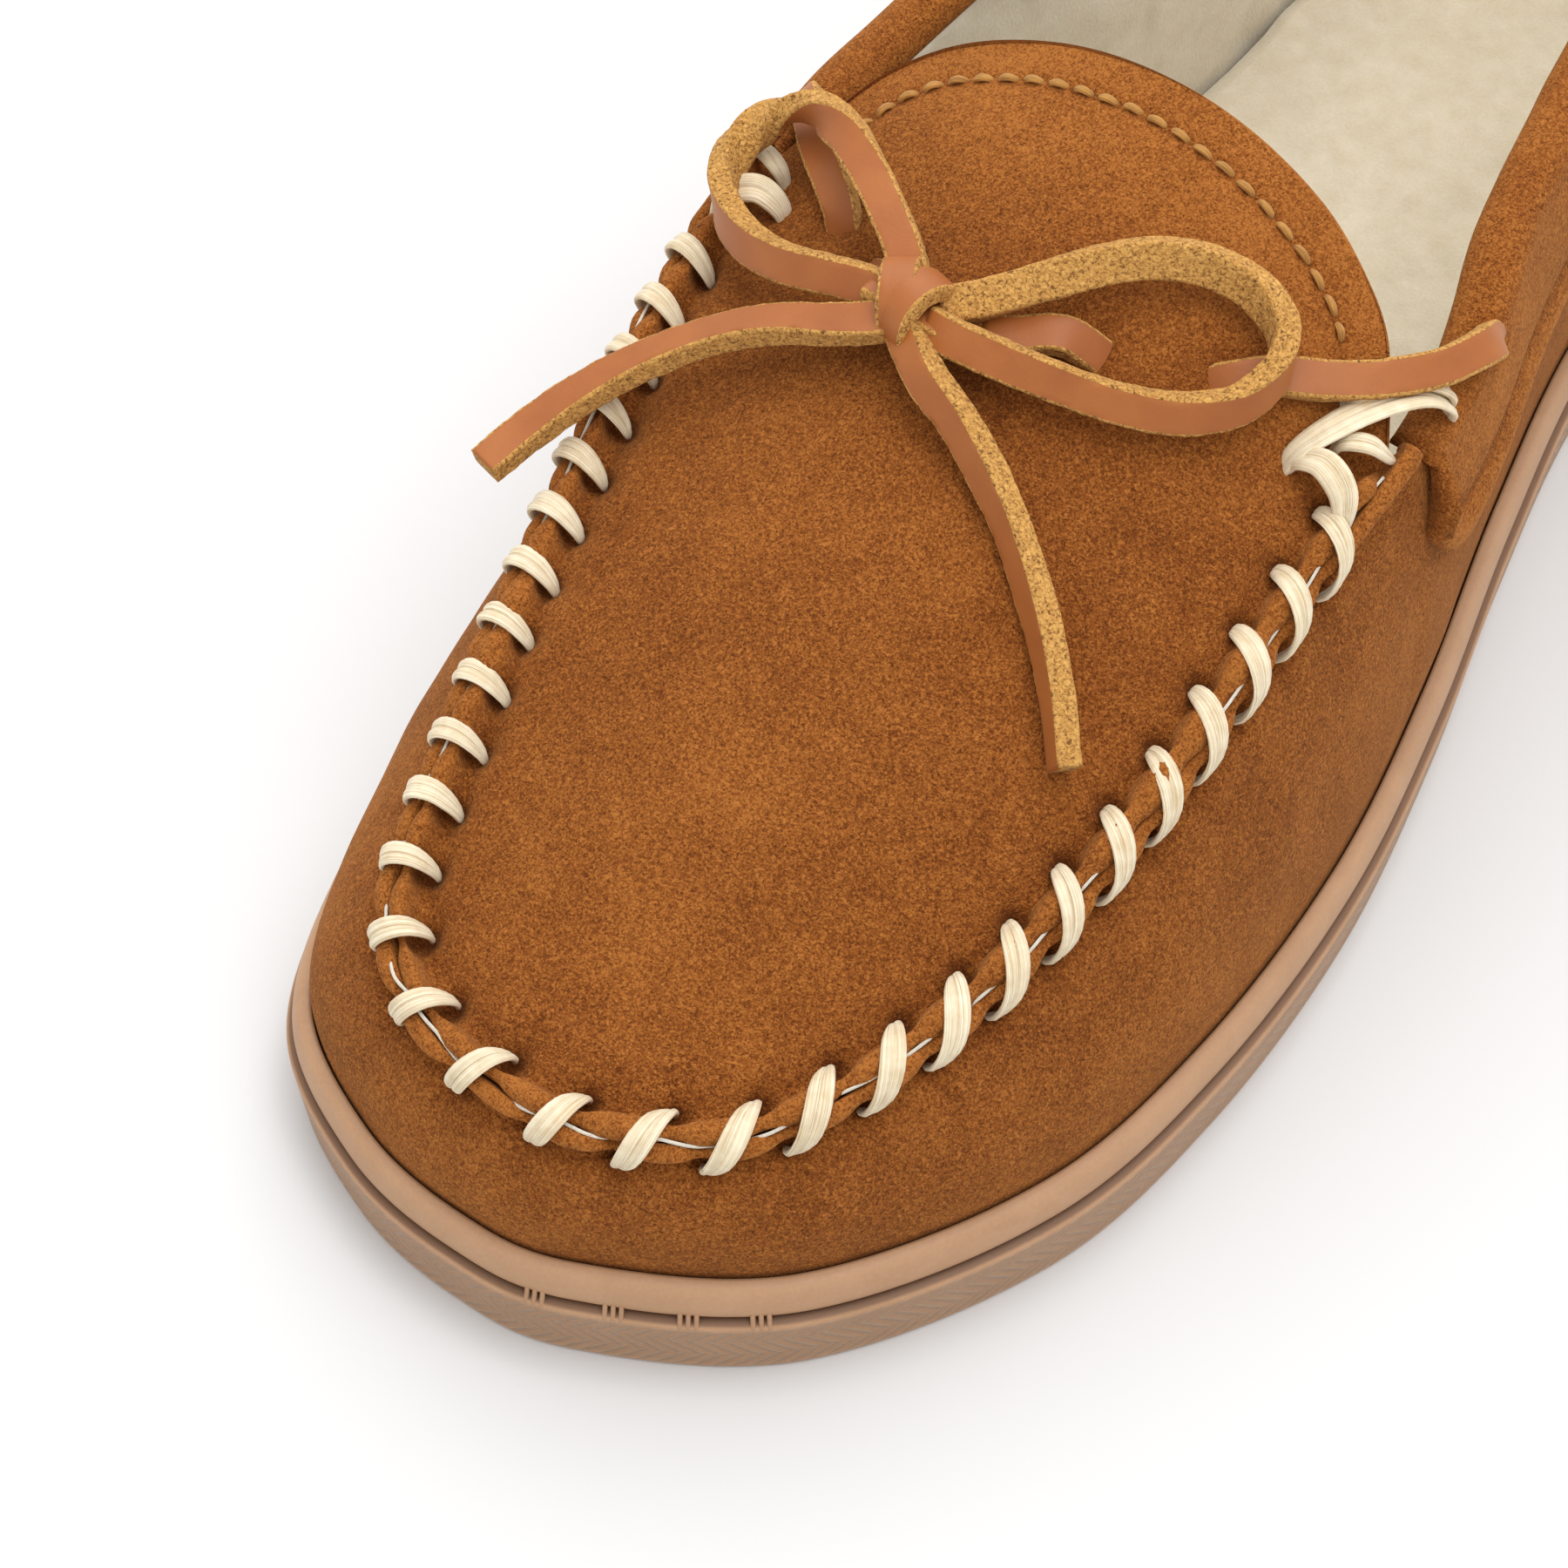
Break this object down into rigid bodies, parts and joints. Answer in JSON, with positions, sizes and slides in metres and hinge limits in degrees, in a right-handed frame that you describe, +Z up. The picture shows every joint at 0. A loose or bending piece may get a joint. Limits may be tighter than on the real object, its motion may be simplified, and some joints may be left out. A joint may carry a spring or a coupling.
{
  "type": "moccasin slipper",
  "caption": "Left moccasin slipper with a suede wrap and whip-stitched apron, a tied leather thong, pile lining and a moulded gum-rubber cup sole.",
  "frame": {"origin": "centre of the footprint on the ground, under the outsole", "axes": "+Z up, +Y towards the toe, +X towards the inner (medial) side of the foot"},
  "size_m": [0.104, 0.2879, 0.0807],
  "materials": {
    "gum_rubber": "matte gum rubber, ribbed at the sides",
    "suede": "caramel suede with a soft nap",
    "pile": "cream faux-fur pile",
    "board": "stitched fibre insole board",
    "foam": "soft foam",
    "stiffener": "thin formed stiffener",
    "waxed_thread": "flat waxed two-strand thread",
    "white_thread": "fine white sewing thread",
    "ochre_thread": "fine ochre sewing thread",
    "thong_leather": "smooth tan grain side, rough golden flesh side"
  },
  "bodies": {
    "root": {"outsole": "gum_rubber", "insole_board": "board", "foam_footbed": "foam", "pile_sock": "pile", "vamp_wrap": "suede", "vamp_lining": "pile", "quarter_lining": "pile", "heel_counter": "stiffener", "heel_backstay": "suede", "apron": "suede", "apron_lining": "pile", "collar_cuff": "suede", "whip_thread": "waxed_thread", "seam_cord": "white_thread", "corner_tie_lateral": "waxed_thread", "corner_tie_medial": "waxed_thread", "tongue_topstitch": "ochre_thread", "lace_strap_lateral": "thong_leather", "lace_strap_medial": "thong_leather", "lace_knot": "thong_leather", "lace_loop_lateral": "thong_leather", "lace_loop_medial": "thong_leather", "lace_tail_lateral": "thong_leather", "lace_tail_medial": "thong_leather"}
  },
  "joints": []
}
